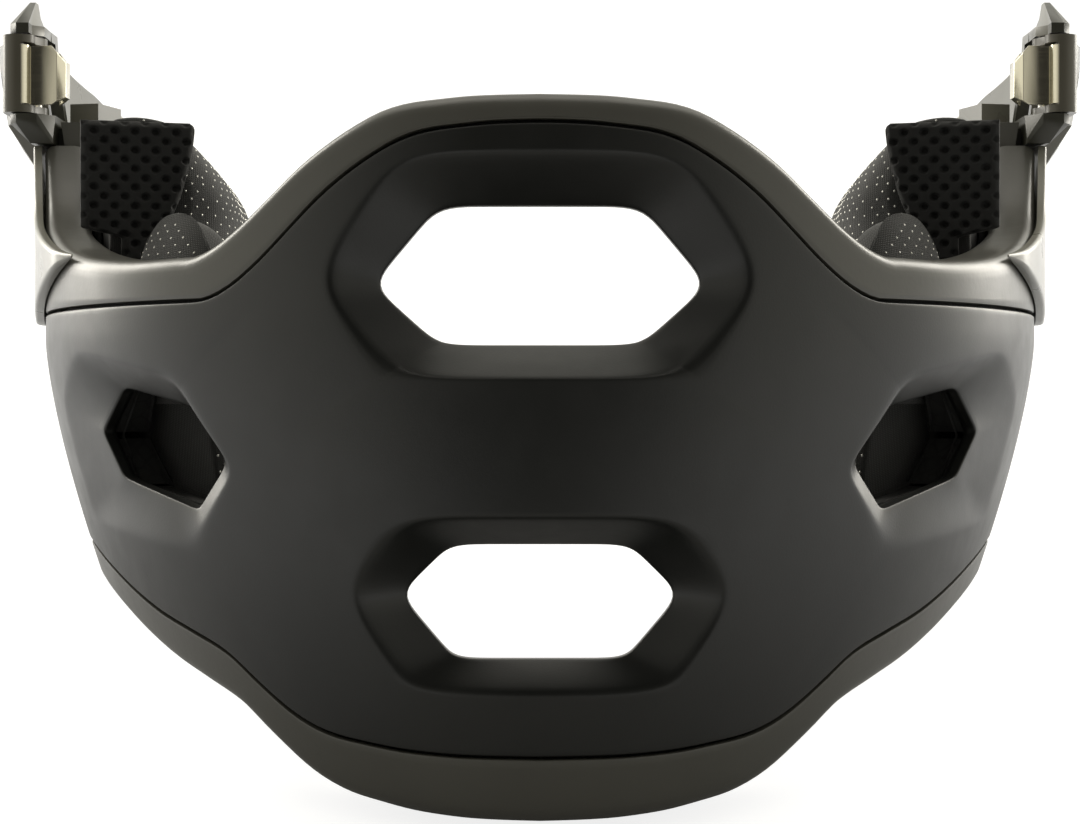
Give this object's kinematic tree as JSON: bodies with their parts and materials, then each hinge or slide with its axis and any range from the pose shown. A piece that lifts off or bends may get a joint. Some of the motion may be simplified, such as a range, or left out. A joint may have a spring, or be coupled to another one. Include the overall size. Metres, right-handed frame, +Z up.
{
  "type": "helmet chin bar",
  "caption": "U-shaped removable chin bar for a bike helmet, foam filled, with vents, padded cheeks and a lever latch with a steel claw on each arm.",
  "frame": {"origin": "centre of the bounding box at its lowest level, where the chin and the rear corners of the arms rest on a flat surface", "axes": "+X to the right of the picture along the symmetric width, -Y forward out of the chin, +Z up"},
  "size_m": [0.2308, 0.1963, 0.1296],
  "materials": {
    "shell": "fine matte moulded charcoal",
    "trim": "satin dark grey with a soft sheen",
    "cover": "satin dark grey",
    "foam": "moulded beads, dull",
    "frame": "moulded nylon",
    "latch_plastic": "satin moulded nylon",
    "claw_steel": "bright, warm",
    "pin_steel": "ground",
    "screw_steel": "darkened",
    "pad_fabric": "knitted, with a grid of small silver dots",
    "mesh_fabric": "open spacer mesh",
    "pad_foam": "soft open foam",
    "patch": "hook and loop",
    "board": "thin sheet"
  },
  "bodies": {
    "bar": {"face_shell": "shell", "upper_trim": "trim", "lower_trim": "trim", "impact_foam": "foam", "left_side_cover": "cover", "left_rear_cap": "trim", "left_arm_frame": "frame", "left_latch_housing": "latch_plastic", "left_housing_screws": "screw_steel", "left_pivot_pin": "pin_steel", "left_locator_pin": "pin_steel", "left_pad_patches": "patch", "left_pad_board": "board", "left_cheek_pad": "pad_fabric", "left_cheek_pad_core": "pad_foam", "left_pad_mesh": "mesh_fabric", "left_jaw_patch": "patch", "left_jaw_pad": "pad_fabric", "right_side_cover": "cover", "right_rear_cap": "trim", "right_arm_frame": "frame", "right_latch_housing": "latch_plastic", "right_housing_screws": "screw_steel", "right_pivot_pin": "pin_steel", "right_locator_pin": "pin_steel", "right_pad_patches": "patch", "right_pad_board": "board", "right_cheek_pad": "pad_fabric", "right_cheek_pad_core": "pad_foam", "right_pad_mesh": "mesh_fabric", "right_jaw_patch": "patch", "right_jaw_pad": "pad_fabric"},
    "left_lever": {"left_latch_lever": "latch_plastic", "left_claw_pin": "pin_steel"},
    "left_claw": {"left_latch_claw": "claw_steel"},
    "right_lever": {"right_latch_lever": "latch_plastic", "right_claw_pin": "pin_steel"},
    "right_claw": {"right_latch_claw": "claw_steel"}
  },
  "joints": [
    {"name": "left_lever_hinge", "type": "hinge", "parent": "bar", "child": "left_lever", "pos_m": [-0.1052, 0.03845, 0.11474], "axis": [0, 0.2336, 0.9723], "range_deg": [0, 95]},
    {"name": "left_claw_hinge", "type": "hinge", "parent": "left_lever", "child": "left_claw", "pos_m": [-0.1074, 0.03281, 0.11609], "axis": [0, -0.2336, -0.9723], "range_deg": [0, 85]},
    {"name": "right_lever_hinge", "type": "hinge", "parent": "bar", "child": "right_lever", "pos_m": [0.1052, 0.03845, 0.11474], "axis": [0, -0.2336, -0.9723], "range_deg": [0, 95]},
    {"name": "right_claw_hinge", "type": "hinge", "parent": "right_lever", "child": "right_claw", "pos_m": [0.1074, 0.03281, 0.11609], "axis": [0, 0.2336, 0.9723], "range_deg": [0, 85]}
  ]
}
